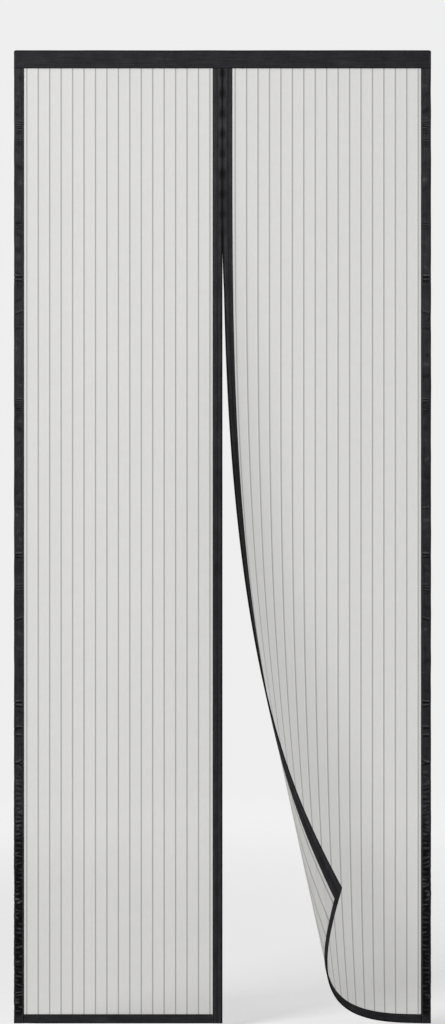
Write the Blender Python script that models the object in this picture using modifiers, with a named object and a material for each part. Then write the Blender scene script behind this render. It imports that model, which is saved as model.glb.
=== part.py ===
"""Magnetic door insect screen: two net panels that part in the middle, the right one curled open.

Metres, +Z up. The room side faces -Y. The origin is the middle of the adhesive face of the header's
fixing strip, which lies on the door frame's surface (the plane y = 0).
"""
import math

import bmesh
import bpy
from mathutils import Matrix, Vector

# Overall size and bindings
SCREEN_W = 0.900
SCREEN_H = 2.100
HEADER_H = 0.039
SIDE_TAPE_W = 0.0215
CENTRE_TAPE_W = 0.021
BOTTOM_TAPE_H = 0.0195
TAPE_T = 0.0005
HEADER_TUCK = 0.030

# Net and its woven ribs
NET_T = 0.0006
RIB_T = 0.0014
RIB_W = 0.0030
RIB_PITCH = 0.0247
RIB_MARGIN = 0.005
NET_HEM = 0.008

# Magnets in the centre bindings
MAGNET_W = 0.006
MAGNET_L = 0.012
MAGNET_T = 0.0012
MAGNETS = 20
MAGNET_END = 0.045
POCKET_W = 0.0115

# Hook and loop fixing strips
HOOK_T = 0.0015
HEADER_LOOP_T = 0.0015
HEADER_STRIP_W = 0.030
SIDE_STRIP_W = 0.018

# Clearances
CLEAR = 0.0003
HEM_CLEAR = 0.0004
POCKET_CLEAR = 0.0006
POCKET_SLOPE = 0.0006
NET_SHORT = 0.0009
SEAM = 0.0003

# Gathers of the side bindings: the turn is the phase, in radians, from one station to the next
PUCKER_DEPTH = 0.0010
PUCKER_PITCH = 0.055
PUCKER_TURN = 2.4
PUCKER_PULL = 0.0004

# Curl of the right panel about its diagonal
CURL_START = 0.016
CURL_R = 0.180
CURL_INNER_R = 0.130
LIFT = 0.250
LIFT_POWER = 2.5
LIFT_SETTLE = 0.4
CURL_STEP = 0.080
NORMAL_STEP = 0.001

# Planes worked out from the sizes
HEADER_HALF = MAGNET_T / 2 + POCKET_CLEAR + TAPE_T + CLEAR + TAPE_T
NET_Y = -(HOOK_T + CLEAR + HEADER_LOOP_T + CLEAR + HEADER_HALF)
TOP_Z = HEADER_H / 2
BOTTOM_Z = TOP_Z - SCREEN_H
HEADER_EDGE_Z = TOP_Z - HEADER_H
TAPE_TOP_Z = HEADER_EDGE_Z + HEADER_TUCK
JAMB_X = SCREEN_W / 2
SEAM_X = SEAM / 2

# Half thicknesses of the bindings, to the middle of a layer
NET_FOLD = NET_T / 2 + HEM_CLEAR + TAPE_T / 2
RIB_FOLD = RIB_T / 2 + HEM_CLEAR + TAPE_T / 2
MAGNET_FOLD = MAGNET_T / 2 + POCKET_CLEAR + TAPE_T / 2
HEADER_FOLD = HEADER_HALF - TAPE_T / 2

TAPE_BLACK = (0.024, 0.024, 0.026, 1.0)
NET_GREY = (0.58, 0.57, 0.55, 1.0)
MAGNET_GREY = (0.09, 0.09, 0.09, 1.0)
LOOP_BLACK = (0.015, 0.015, 0.016, 1.0)
HOOK_BLACK = (0.020, 0.020, 0.020, 1.0)


def clear_scene():
    for obj in list(bpy.data.objects):
        bpy.data.objects.remove(obj, do_unlink=True)


def material(name, colour, roughness, metallic=0.0, alpha=1.0):
    mat = bpy.data.materials.new(name)
    mat.use_nodes = True
    shader = mat.node_tree.nodes["Principled BSDF"]
    shader.inputs["Base Color"].default_value = colour
    shader.inputs["Roughness"].default_value = roughness
    shader.inputs["Metallic"].default_value = metallic
    shader.inputs["Alpha"].default_value = alpha
    return mat


# The two panels' surfaces
class Curl:
    """The right panel: a roll about the diagonal from the seam's top to the jamb's foot."""

    def __init__(self):
        self.width = JAMB_X - SEAM_X
        self.drop = HEADER_EDGE_Z - BOTTOM_Z
        diagonal = math.hypot(self.width, self.drop)
        self.side = self.width / diagonal
        self.down = self.drop / diagonal
        self.corner = self.width * self.down
        self.rows = heights(BOTTOM_Z, True)

    def roll(self, reach):
        """Offset from the diagonal and height off the door after this much cloth."""
        if reach <= CURL_START:
            return reach, 0.0
        quarter = CURL_R * math.pi / 2
        first = min(reach - CURL_START, quarter) / CURL_R
        rest = max(reach - CURL_START - quarter, 0.0) / CURL_INNER_R
        offset = CURL_START + CURL_R * math.sin(first) - CURL_INNER_R * (1 - math.cos(rest))
        height = CURL_R * (1 - math.cos(first)) + CURL_INNER_R * math.sin(rest)
        return offset, height

    def middle(self, x, z):
        """Where the middle of the cloth lies for the flat position x, z."""
        across = x - SEAM_X
        fall = HEADER_EDGE_Z - z
        reach = fall * self.side - across * self.down
        along = across * self.side + fall * self.down
        offset, height = self.roll(reach)
        share = min(max(along / (self.drop * self.down), 0.0), 1.0)
        ease = share * share * (3 - 2 * share)
        lift = (max(reach, 0.0) / self.corner) ** LIFT_POWER * ease
        along -= LIFT * lift
        out = height * (1 - LIFT_SETTLE * lift)
        new_x = SEAM_X + along * self.side - offset * self.down
        new_z = HEADER_EDGE_Z - along * self.down - offset * self.side
        return Vector((new_x, NET_Y - out, new_z))

    def curled(self, x, y, z):
        here = self.middle(x, z)
        right = self.middle(x + NORMAL_STEP, z) - self.middle(x - NORMAL_STEP, z)
        up = self.middle(x, z + NORMAL_STEP) - self.middle(x, z - NORMAL_STEP)
        back = up.cross(right).normalized()
        return here + back * (y - NET_Y)

    def place(self, x, y, z):
        """The curled position of a point that lies at x, y, z on the closed, flat screen.

        Between two rows, the net and all that it carries follow the same straight chord.
        """
        index = next((i for i, row in enumerate(self.rows) if i and row <= z), len(self.rows) - 1)
        upper, lower = self.rows[index - 1], self.rows[index]
        share = (upper - z) / (upper - lower)
        return self.curled(x, y, upper).lerp(self.curled(x, y, lower), share)


def flat_left(x, y, z):
    """The left panel stays flat: it is the right one's mirror image before the curl."""
    return Vector((-x, y, z))


def flat_right(x, y, z):
    return Vector((x, y, z))


def steps(start, end, size):
    """Evenly spaced stations from start to end, about size apart."""
    count = max(1, round(abs(end - start) / size))
    return [start + (end - start) * i / count for i in range(count + 1)]


def heights(foot, bends):
    """A panel's stations from inside the header to its foot, shared by all that bends with it."""
    size = CURL_STEP if bends else SCREEN_H
    return [TAPE_TOP_Z] + steps(HEADER_EDGE_Z, BOTTOM_Z + BOTTOM_TAPE_H, size) + [foot]


def rib_places():
    """As many ribs as fit, centred between the centre binding and the side binding."""
    start = SEAM_X + CENTRE_TAPE_W
    end = JAMB_X - SIDE_TAPE_W
    gaps = int((end - start - 2 * RIB_MARGIN) / RIB_PITCH)
    first = (start + end - gaps * RIB_PITCH) / 2
    return [first + RIB_PITCH * number for number in range(gaps + 1)]


# Building blocks
def add_object(name, mesh, mat, collection):
    mesh.materials.append(mat)
    obj = bpy.data.objects.new(name, mesh)
    collection.objects.link(obj)
    return obj


def swept_sheet(name, profile, stations, place, mat, collection):
    """An open profile of (across, out, thickness share) points drawn along the stations."""
    bm = bmesh.new()
    column = bm.verts.layers.int.new("column")
    for index, (across, out, _) in enumerate(profile):
        vert = bm.verts.new(place(across, out, stations[0]))
        vert[column] = index
    bm.verts.ensure_lookup_table()
    edges = [bm.edges.new((a, b)) for a, b in zip(bm.verts[:-1], bm.verts[1:])]
    for station in stations[1:]:
        grown = bmesh.ops.extrude_edge_only(bm, edges=edges)["geom"]
        edges = [item for item in grown if isinstance(item, bmesh.types.BMEdge)]
        for vert in (item for item in grown if isinstance(item, bmesh.types.BMVert)):
            across, out, _ = profile[vert[column]]
            vert.co = place(across, out, station)
    bmesh.ops.triangulate(bm, faces=bm.faces, quad_method="LONG_EDGE")
    bm.normal_update()
    bmesh.ops.recalc_face_normals(bm, faces=bm.faces)
    shares = [profile[vert[column]][2] for vert in bm.verts]
    mesh = bpy.data.meshes.new(name)
    bm.to_mesh(mesh)
    bm.free()
    obj = add_object(name, mesh, mat, collection)
    group = obj.vertex_groups.new(name="thickness")
    for index, share in enumerate(shares):
        group.add([index], share, "REPLACE")
    return obj


def thicken(obj, thickness):
    solid = obj.modifiers.new("cloth", "SOLIDIFY")
    solid.thickness = thickness
    solid.offset = 0.0
    solid.use_even_offset = True
    solid.vertex_group = "thickness"


def bar(name, size, centre, mat, collection):
    bm = bmesh.new()
    bmesh.ops.create_cube(bm, size=1.0)
    bmesh.ops.scale(bm, vec=size, verts=bm.verts)
    mesh = bpy.data.meshes.new(name)
    bm.to_mesh(mesh)
    bm.free()
    obj = add_object(name, mesh, mat, collection)
    obj.location = centre
    return obj


def lie_on(obj, surface, x, z, reach):
    """Sets a stiff piece at the flat position x, z, along the cloth that its length spans."""
    top = surface(x, NET_Y, z + reach)
    foot = surface(x, NET_Y, z - reach)
    up = (top - foot).normalized()
    back = (surface(x, NET_Y + NORMAL_STEP, z) - surface(x, NET_Y, z)).normalized()
    right = back.cross(up).normalized()
    turn = Matrix((right, up.cross(right), up)).transposed()
    obj.rotation_euler = turn.to_euler()
    obj.location = (top + foot) / 2


def fold_profile(width, edge_half, body_half, body_end):
    """A binding folded in two: from the front layer's raw edge round the fold to the back's.

    Each half lists (across, distance from the middle): the edge, the body, then the round fold.
    """
    front = [(width, edge_half)]
    if body_half > edge_half:
        front.append((body_end + body_half - edge_half + POCKET_SLOPE, edge_half))
    front.append((body_end, body_half))
    front.append((body_half + TAPE_T / 2, body_half))
    front.append((TAPE_T / 2, body_half / 2))
    layer = [(across, -half) for across, half in front]
    return layer + [(across, half) for across, half in reversed(front)]


# Sub-parts
def header_tape(mat, collection):
    profile = fold_profile(HEADER_H, HEADER_FOLD, HEADER_FOLD, HEADER_H / 2)
    points = [(across, out, 1.0) for across, out in profile]

    def place(across, out, along):
        return Vector((along, NET_Y + out, TOP_Z - across))

    obj = swept_sheet("header_tape", points, [-JAMB_X, JAMB_X], place, mat, collection)
    thicken(obj, TAPE_T)


def side_tape(name, surface, mat, collection):
    """A gathered binding on the jamb side: its front layer and fold pucker between stitches."""
    profile = fold_profile(SIDE_TAPE_W, NET_FOLD, NET_FOLD, SIDE_TAPE_W / 2)
    points = [(across, out, 1.0) for across, out in profile]
    stations = steps(TAPE_TOP_Z, BOTTOM_Z, PUCKER_PITCH)
    spacing = abs(stations[1] - stations[0])

    def place(across, out, along):
        number = round((TAPE_TOP_Z - along) / spacing)
        swell = (1 + math.sin(PUCKER_TURN * number)) / 2
        if along > HEADER_EDGE_Z:
            swell = 0.0
        fullness = 1 - abs(2 * across / SIDE_TAPE_W - 1)
        bulge = PUCKER_DEPTH * swell * fullness if out < 0 else 0.0
        pulled_in = PUCKER_PULL * swell if across < NET_FOLD else 0.0
        return surface(JAMB_X - across - pulled_in, NET_Y + out - bulge, along)

    obj = swept_sheet(name, points, stations, place, mat, collection)
    thicken(obj, TAPE_T)


def centre_tape(name, surface, bends, mat, collection):
    """The binding on the free edge, with a row of magnets in its fold."""
    profile = fold_profile(CENTRE_TAPE_W, NET_FOLD, MAGNET_FOLD, POCKET_W)
    points = [(across, out, 1.0) for across, out in profile]

    def place(across, out, along):
        return surface(SEAM_X + across, NET_Y + out, along)

    obj = swept_sheet(name, points, heights(BOTTOM_Z, bends), place, mat, collection)
    thicken(obj, TAPE_T)


def bottom_tape(name, surface, bends, mat, collection):
    profile = fold_profile(BOTTOM_TAPE_H, RIB_FOLD, RIB_FOLD, BOTTOM_TAPE_H / 2)
    points = [(across, out, 1.0) for across, out in profile]

    def place(across, out, along):
        return surface(along, NET_Y + out, BOTTOM_Z + across)

    start = SEAM_X + CENTRE_TAPE_W + CLEAR
    between = rib_places() if bends else []
    stations = [start] + between + [JAMB_X - SIDE_TAPE_W - CLEAR]
    obj = swept_sheet(name, points, stations, place, mat, collection)
    thicken(obj, TAPE_T)


def net(name, surface, bends, mat, collection):
    """The net panel, with its woven ribs."""
    thin = NET_T / RIB_T
    free_edge = SEAM_X + POCKET_W + NET_SHORT
    points = [(free_edge, 0.0, thin), (SEAM_X + CENTRE_TAPE_W, 0.0, thin)]
    for rib in rib_places():
        points.append((rib - RIB_W / 2, 0.0, thin))
        points.append((rib, 0.0, 1.0))
        points.append((rib + RIB_W / 2, 0.0, thin))
    points.append((JAMB_X - NET_HEM, 0.0, thin))

    def place(across, out, along):
        return surface(across, NET_Y + out, along)

    foot = BOTTOM_Z + TAPE_T + RIB_FOLD
    obj = swept_sheet(name, points, heights(foot, bends), place, mat, collection)
    thicken(obj, RIB_T)


def magnets(side, surface, mat, collection):
    top = HEADER_EDGE_Z - MAGNET_END
    drop = top - (BOTTOM_Z + MAGNET_END)
    across = SEAM_X + (MAGNET_FOLD + TAPE_T + POCKET_W) / 2
    size = (MAGNET_W, MAGNET_T, MAGNET_L)
    for number in range(MAGNETS):
        height = top - drop * number / (MAGNETS - 1)
        magnet = bar(f"magnet_{side}_{number + 1:02d}", size, (0, 0, 0), mat, collection)
        lie_on(magnet, surface, across, height, MAGNET_L / 2)


def fixing_strips(loop, hook, collection):
    """Loop strips sewn behind the bindings, and the adhesive hook strips that they press on."""
    hook_y = -HOOK_T / 2
    loop_back = -(HOOK_T + CLEAR)
    header_loop_y = loop_back - HEADER_LOOP_T / 2
    size = (SCREEN_W, HOOK_T, HEADER_STRIP_W)
    bar("header_hook_strip", size, (0, hook_y, 0), hook, collection)
    size = (SCREEN_W, HEADER_LOOP_T, HEADER_STRIP_W)
    bar("header_loop_strip", size, (0, header_loop_y, 0), loop, collection)

    side_loop_front = NET_Y + NET_FOLD + TAPE_T / 2 + CLEAR
    side_loop_t = loop_back - side_loop_front
    length = HEADER_EDGE_Z - BOTTOM_Z - CLEAR
    middle_z = (HEADER_EDGE_Z - CLEAR + BOTTOM_Z) / 2
    middle_x = JAMB_X - SIDE_TAPE_W / 2
    for side, x in (("left", -middle_x), ("right", middle_x)):
        size = (SIDE_STRIP_W, HOOK_T, length)
        bar(f"side_hook_strip_{side}", size, (x, hook_y, middle_z), hook, collection)
        size = (SIDE_STRIP_W, side_loop_t, length)
        centre = (x, loop_back - side_loop_t / 2, middle_z)
        bar(f"side_loop_strip_{side}", size, centre, loop, collection)


def main():
    clear_scene()
    collection = bpy.data.collections.new("door_insect_screen")
    bpy.context.scene.collection.children.link(collection)
    tape = material("binding_tape", TAPE_BLACK, 0.7)
    mesh = material("insect_net", NET_GREY, 0.6, alpha=0.6)
    magnet = material("magnet", MAGNET_GREY, 0.4, metallic=0.8)
    loop = material("loop_strip", LOOP_BLACK, 0.95)
    hook = material("hook_strip", HOOK_BLACK, 0.6)

    curl = Curl()
    header_tape(tape, collection)
    for side, surface, bends in (("left", flat_left, False), ("right", curl.place, True)):
        centre_tape(f"centre_tape_{side}", surface, bends, tape, collection)
        bottom_tape(f"bottom_tape_{side}", surface, bends, tape, collection)
        net(f"net_{side}", surface, bends, mesh, collection)
        magnets(side, surface, magnet, collection)
    side_tape("side_tape_left", flat_left, tape, collection)
    side_tape("side_tape_right", flat_right, tape, collection)
    fixing_strips(loop, hook, collection)


main()
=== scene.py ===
"""Looks of a magnetic door insect screen: ribbed net, gathered bindings, stitching and studio.

Metres, +Z up, with the room side at -Y. Every cloth piece is laid out flat first, as the closed
right panel. Hanging it then mirrors it for the left panel, or rolls it open for the right one.
"""

import math
import random

import bmesh
import bpy
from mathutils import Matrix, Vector, noise


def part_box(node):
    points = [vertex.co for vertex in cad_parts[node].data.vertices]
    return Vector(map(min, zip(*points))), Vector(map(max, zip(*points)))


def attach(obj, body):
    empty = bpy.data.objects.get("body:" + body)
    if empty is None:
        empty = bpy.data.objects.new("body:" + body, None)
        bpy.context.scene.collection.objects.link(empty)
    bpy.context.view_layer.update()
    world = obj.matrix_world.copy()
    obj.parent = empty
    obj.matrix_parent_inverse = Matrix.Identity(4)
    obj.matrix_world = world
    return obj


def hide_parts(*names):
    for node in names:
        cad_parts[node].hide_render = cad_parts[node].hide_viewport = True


bl_info = {
    "name": "Door Insect Screen",
    "version": (1, 0, 0),
    "blender": (4, 5, 0),
    "location": "3D View > Sidebar > Insect Screen",
    "description": "Makes the net, bindings, stitching and studio of a magnetic door insect screen",
    "category": "Add Mesh",
}

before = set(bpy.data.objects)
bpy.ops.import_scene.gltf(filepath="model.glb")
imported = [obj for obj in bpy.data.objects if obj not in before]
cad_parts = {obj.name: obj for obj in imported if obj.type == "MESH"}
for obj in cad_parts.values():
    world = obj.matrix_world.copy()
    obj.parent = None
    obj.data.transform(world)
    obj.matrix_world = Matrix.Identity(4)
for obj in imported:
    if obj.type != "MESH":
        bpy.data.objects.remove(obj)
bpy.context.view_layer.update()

# Places read from the frame; the left panel is flat, and the right one is its mirror image
HEADER_LO, HEADER_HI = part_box("header_tape")
SIDE_LO, SIDE_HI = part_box("side_tape_left")
CENTRE_LO, CENTRE_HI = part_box("centre_tape_left")
BOTTOM_LO, BOTTOM_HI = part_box("bottom_tape_left")
NET_LO, NET_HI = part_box("net_left")

NET_Y = (NET_LO.y + NET_HI.y) / 2
JAMB_X = -SIDE_LO.x
SEAM_X = -CENTRE_HI.x
SIDE_W = SIDE_HI.x - SIDE_LO.x
CENTRE_W = CENTRE_HI.x - CENTRE_LO.x
HEADER_EDGE_Z = HEADER_LO.z
TUCK_Z = CENTRE_HI.z
FOOT_Z = CENTRE_LO.z
BOTTOM_TAPE_Z = BOTTOM_HI.z
NET_START_X = SEAM_X + CENTRE_W
NET_END_X = JAMB_X - SIDE_W

# Cloth thickness, and half the outside thickness of each folded binding
CLOTH_T = 0.0005
HEADER_HALF = HEADER_HI.y - NET_Y
SIDE_HALF = SIDE_HI.y - NET_Y
BOTTOM_HALF = BOTTOM_HI.y - NET_Y
CENTRE_HALF = CENTRE_HI.y - NET_Y

SIDES = ("left", "right")
FLAT_PLACE = "flat_place"
TAPE_PLACE = "tape_place"
# Attribute of painted light and shade: painted shade in creases, seams and pinches, painted highlight on
# crests, painted light towards the top
RELIEF_SHADE = "relief"
# Attribute of painted shade on the tapes' edges and fold
EDGE_SHADE = "woven_edge"
IMAGE_W = 445
IMAGE_H = 1024


# Settings that a user would change
def number_setting(name, description, default, low=0.0, **more):
    return bpy.props.FloatProperty(name=name, description=description, default=default, min=low, **more)


def length_setting(name, description, default, low=0.0):
    return number_setting(name, description, default, low, unit="LENGTH", precision=4)


def share_setting(name, description, default, high=1.0):
    return number_setting(name, description, default, max=high, subtype="FACTOR")


def power_setting(name, description, default):
    return number_setting(name, description, default, unit="POWER")


def colour_setting(name, description, default):
    return bpy.props.FloatVectorProperty(
        name=name, description=description, default=default, min=0.0, max=1.0, subtype="COLOR")


class NetSettings(bpy.types.PropertyGroup):
    rib_pitch: length_setting("Rib Pitch", "Distance between two woven ribs", 0.0247, 0.005)
    rib_width: length_setting("Rib Width", "Width of a woven rib", 0.0030, 0.0005)
    rib_relief: length_setting("Rib Relief", "Height of a rib above the net", 0.0005)
    row_size: length_setting("Row Size", "Length of the net's faces down the panel", 0.012, 0.002)
    thread_colour: colour_setting("Thread Colour", "Colour of the fine net threads", (0.575, 0.568, 0.550))
    rib_colour: colour_setting("Rib Colour", "Colour of the woven ribs", (0.250, 0.248, 0.238))
    opacity: share_setting("Opacity", "Share of the view that the fine net covers", 0.60)
    rib_opacity: share_setting("Rib Opacity", "Share of the view that a rib covers", 0.76)


class CurlSettings(bpy.types.PropertyGroup):
    start: length_setting("Start", "Flat cloth beyond the diagonal before the roll begins", 0.016)
    radius: length_setting("Radius", "Radius of the roll's first quarter turn", 0.180, 0.02)
    inner_radius: length_setting("Inner Radius", "Radius of the roll past its first quarter", 0.130, 0.02)
    lift: length_setting("Lift", "How far the free corner is drawn up along the diagonal", 0.250)
    lift_power: number_setting("Lift Power", "How sharply the lift gathers at the corner", 2.5, 1.0)
    settle: share_setting("Settle", "Share of the roll's height that the lifted corner gives up", 0.4)


class BindingSettings(bpy.types.PropertyGroup):
    colour: colour_setting("Colour", "Colour of the binding tape", (0.021, 0.021, 0.0235))
    # Painted light and shade: painted shade in the creases, painted highlight on the crests, painted shade on
    # the edges and fold
    crease_shade_colour: colour_setting("Creased Colour", "Colour of the tape's creases", (0.001, 0.001, 0.001))
    ridge_highlight_colour: colour_setting("Ridge Colour", "Colour of the tape on its crests", (0.085, 0.085, 0.088))
    edge_colour: colour_setting("Edge Colour", "Colour of the tape's woven edges", (0.002, 0.002, 0.002))
    hem: length_setting("Hem", "Distance from a binding's edge to its stitching", 0.0026, 0.001)
    crown: length_setting("Crown", "How far the front layer swells between its stitch lines", 0.0007)
    pocket: length_setting("Magnet Pocket", "Width of the magnets' pocket", 0.0115, 0.004)
    pinch_pitch: length_setting("Pinch Pitch", "Distance between the middle seam's pinches", 0.0436, 0.01)
    pinch_depth: share_setting("Pinch Depth", "Share of the thickness that a pinch takes away", 0.35, 0.5)


class StitchSettings(bpy.types.PropertyGroup):
    pitch: length_setting("Pitch", "Distance from one stitch to the next", 0.0036, 0.001)
    length: length_setting("Length", "Visible length of a stitch", 0.0025, 0.0005)
    thread: length_setting("Thread", "Thickness of the sewing thread", 0.0006, 0.0001)
    colour: colour_setting("Colour", "Colour of the sewing thread", (0.070, 0.070, 0.074))


class StageSettings(bpy.types.PropertyGroup):
    colour: colour_setting("Colour", "Colour of the floor and of the pale world round it", (0.86, 0.86, 0.86))
    floor_gap: length_setting("Floor Gap", "Height of the screen's foot above the floor", 0.010)
    radius: length_setting("Radius", "Radius of the round floor, which fades out towards its rim", 7.0, 2.0)
    lift: number_setting("Lift", "Brightness added to the floor for the camera alone", 0.22)
    far_lift: number_setting("Far Lift", "Growth of that lift with the square of the distance", 0.015)
    world: number_setting("Ambient", "Strength of the light from all round", 0.42)
    key: power_setting("Key Light", "Power of the soft key light", 92.0)
    fill: power_setting("Fill Light", "Power of the soft fill light", 20.0)
    back: power_setting("Back Light", "Power of the soft light behind the screen", 32.0)


SETTINGS = {
    "screen_net": NetSettings,
    "screen_curl": CurlSettings,
    "screen_binding": BindingSettings,
    "screen_stitch": StitchSettings,
    "screen_stage": StageSettings,
}


# Node trees
GEOMETRY, MATERIAL, VECTOR, COLOUR, FLOAT = (
    f"NodeSocket{kind}" for kind in ("Geometry", "Material", "Vector", "Color", "Float"))
SOCKET_KINDS = {bool: "NodeSocketBool", int: "NodeSocketInt", float: FLOAT, tuple: COLOUR}


class Number:
    """A number in a node tree: each sum that is written with it adds a Math node."""

    def __init__(self, tree, socket):
        self.tree = tree
        self.socket = socket

    def math(self, operation, *values):
        return math_node(self.tree, operation, self, *values)

    def __add__(self, other):
        return self.math("ADD", other)

    def __sub__(self, other):
        return self.math("SUBTRACT", other)

    def __rsub__(self, other):
        return math_node(self.tree, "SUBTRACT", other, self)

    def __mul__(self, other):
        return self.math("MULTIPLY", other)

    def __truediv__(self, other):
        return self.math("DIVIDE", other)

    def __rtruediv__(self, other):
        return math_node(self.tree, "DIVIDE", other, self)


def math_node(tree, operation, *values):
    node = add_node(tree, "ShaderNodeMath", dict(enumerate(values)), operation=operation)
    return Number(tree, node.outputs[0])


def add_node(tree, kind, feeds=None, **settings):
    """Adds a node: settings are its properties, feeds its inputs by name or number."""
    node = tree.nodes.new(kind)
    for name, value in settings.items():
        setattr(node, name, value)
    for name, value in (feeds or {}).items():
        feed(tree, node.inputs[name], value)
    return node


def feed(tree, socket, value):
    """Links a number or another socket to a socket, or sets its plain value."""
    if isinstance(value, Number):
        value = value.socket
    if isinstance(value, bpy.types.NodeSocket):
        tree.links.new(value, socket)
    else:
        socket.default_value = value


def vector_math(tree, operation, *values, **feeds):
    """The vector that comes of a sum of vectors."""
    node = add_node(tree, "ShaderNodeVectorMath", {**dict(enumerate(values)), **feeds}, operation=operation)
    return node.outputs[0]


def parts(tree, vector):
    """The x, y and z of a vector, as numbers."""
    return [Number(tree, socket) for socket in add_node(tree, "ShaderNodeSeparateXYZ", {0: vector}).outputs]


def ramp(tree, value, start, end, low, high, **settings):
    """low up to where the value is start, high from where it is end on, and a slope between."""
    feeds = {"Value": value, "From Min": start, "From Max": end, "To Min": low, "To Max": high}
    return Number(tree, add_node(tree, "ShaderNodeMapRange", feeds, **settings).outputs[0])


def speckle(tree, place, scale, detail):
    """Smooth noise over the surface, from 0 to 1."""
    node = add_node(tree, "ShaderNodeTexNoise", {"Vector": place, "Scale": scale, "Detail": detail})
    return Number(tree, node.outputs["Fac"])


def spoken(name):
    return name.replace("_", " ").title()


class Tree:
    """A node group under construction, with short ways to add its sockets and nodes."""

    def __init__(self, name, kind):
        self.group = bpy.data.node_groups.new(name, kind)

    def inputs(self, **sockets):
        """Adds the group's inputs, as name=default or name=kind, and returns them."""
        for name, value in sockets.items():
            kind = SOCKET_KINDS.get(type(value), value)
            item = self.group.interface.new_socket(spoken(name), in_out="INPUT", socket_type=kind)
            if kind is not value:
                item.default_value = value
        entry = self.group.nodes.new("NodeGroupInput").outputs
        return [Number(self.group, entry[spoken(name)]) for name in sockets]

    def finish(self, **sockets):
        """Adds the group's outputs, as name=(kind, what feeds it), and returns the group."""
        for name, (kind, _) in sockets.items():
            self.group.interface.new_socket(spoken(name), in_out="OUTPUT", socket_type=kind)
        way_out = self.group.nodes.new("NodeGroupOutput")
        for name, (_, source) in sockets.items():
            feed(self.group, way_out.inputs[spoken(name)], source)
        return self.group

    def node(self, kind, feeds=None, **settings):
        """Adds a node, and returns its first output."""
        return add_node(self.group, kind, feeds, **settings).outputs[0]


# The curl's sizes, in the order of the groups' inputs
CURL_INPUTS = dict(start=0.0, radius=1.0, inner_radius=1.0, lift=0.0, lift_power=1.0, settle=0.0)
# How far apart the points lie that give the rolled cloth's slope
NORMAL_STEP = 0.002
# How far a stitch leans from its row
STITCH_TILT = 0.06


def cloth_point_group():
    """Where the middle of the open panel's cloth lies, for a place on the closed panel."""
    tree = Tree("Rolled Cloth", "GeometryNodeTree")
    x, z, start, radius, inner, lift_size, power, settle = tree.inputs(x=0.0, z=0.0, **CURL_INPUTS)
    width = JAMB_X - SEAM_X
    drop = HEADER_EDGE_Z - FOOT_Z
    diagonal = math.hypot(width, drop)
    side, down = width / diagonal, drop / diagonal

    across = x - SEAM_X
    fall = HEADER_EDGE_Z - z
    reach = fall * side - across * down
    along = across * side + fall * down

    rolled = (reach - start).math("MAXIMUM", 0.0)
    quarter = radius * (math.pi / 2)
    first = rolled.math("MINIMUM", quarter) / radius
    rest = (rolled - quarter).math("MAXIMUM", 0.0) / inner
    flat = reach.math("MINIMUM", start)
    offset = flat + radius * first.math("SINE") - inner * (1.0 - rest.math("COSINE"))
    height = radius * (1.0 - first.math("COSINE")) + inner * rest.math("SINE")

    share = (along / (drop * down)).math("MAXIMUM", 0.0).math("MINIMUM", 1.0)
    ease = share * share * (3.0 - share * 2.0)
    corner = reach.math("MAXIMUM", 0.0) / (width * down)
    lift = corner.math("POWER", power) * ease
    slid = along - lift_size * lift
    place = tree.node("ShaderNodeCombineXYZ", {
        "X": slid * side - offset * down + SEAM_X,
        "Y": NET_Y - height * (1.0 - settle * lift),
        "Z": HEADER_EDGE_Z - (slid * down + offset * side),
    })
    return tree.finish(place=(VECTOR, place))


def hang_group():
    """Keeps each point's flat place, then mirrors the cloth to the left or rolls it open."""
    tree = Tree("Hang Cloth", "GeometryNodeTree")
    geometry, mirror, is_open, material, *curl = tree.inputs(
        geometry=GEOMETRY, mirror=False, open=False, material=MATERIAL, **CURL_INPUTS)
    shape = dict(zip(map(spoken, CURL_INPUTS), curl))
    rolled = cloth_point_group()

    def cloth(x, z):
        return tree.node("GeometryNodeGroup", {**shape, "X": x, "Z": z}, node_tree=rolled)

    def vector_sum(operation, *values, **feeds):
        return vector_math(tree.group, operation, *values, **feeds)

    def choice(switch, no, yes):
        return tree.node("GeometryNodeSwitch", {"Switch": switch, "False": no, "True": yes},
                         input_type="VECTOR")

    position = tree.node("GeometryNodeInputPosition")
    kept = tree.node("GeometryNodeStoreNamedAttribute",
                     {"Geometry": geometry, "Name": FLAT_PLACE, "Value": position},
                     data_type="FLOAT_VECTOR", domain="POINT")
    x, y, z = parts(tree.group, position)
    right = vector_sum("SUBTRACT", cloth(x + NORMAL_STEP, z), cloth(x - NORMAL_STEP, z))
    up = vector_sum("SUBTRACT", cloth(x, z + NORMAL_STEP), cloth(x, z - NORMAL_STEP))
    back = vector_sum("NORMALIZE", vector_sum("CROSS_PRODUCT", up, right))
    open_place = vector_sum("ADD", cloth(x, z), vector_sum("SCALE", back, Scale=y - NET_Y))
    mirrored = tree.node("ShaderNodeCombineXYZ", {"X": x * -1.0, "Y": y, "Z": z})
    chosen = choice(is_open, choice(mirror, position, mirrored), open_place)
    moved = tree.node("GeometryNodeSetPosition", {"Geometry": kept, "Position": chosen})
    turned = tree.node("GeometryNodeFlipFaces", {"Mesh": moved, "Selection": mirror})
    real = tree.node("GeometryNodeRealizeInstances", {"Geometry": turned})
    painted = tree.node("GeometryNodeSetMaterial", {"Geometry": real, "Material": material})
    return tree.finish(geometry=(GEOMETRY, painted))


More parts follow.
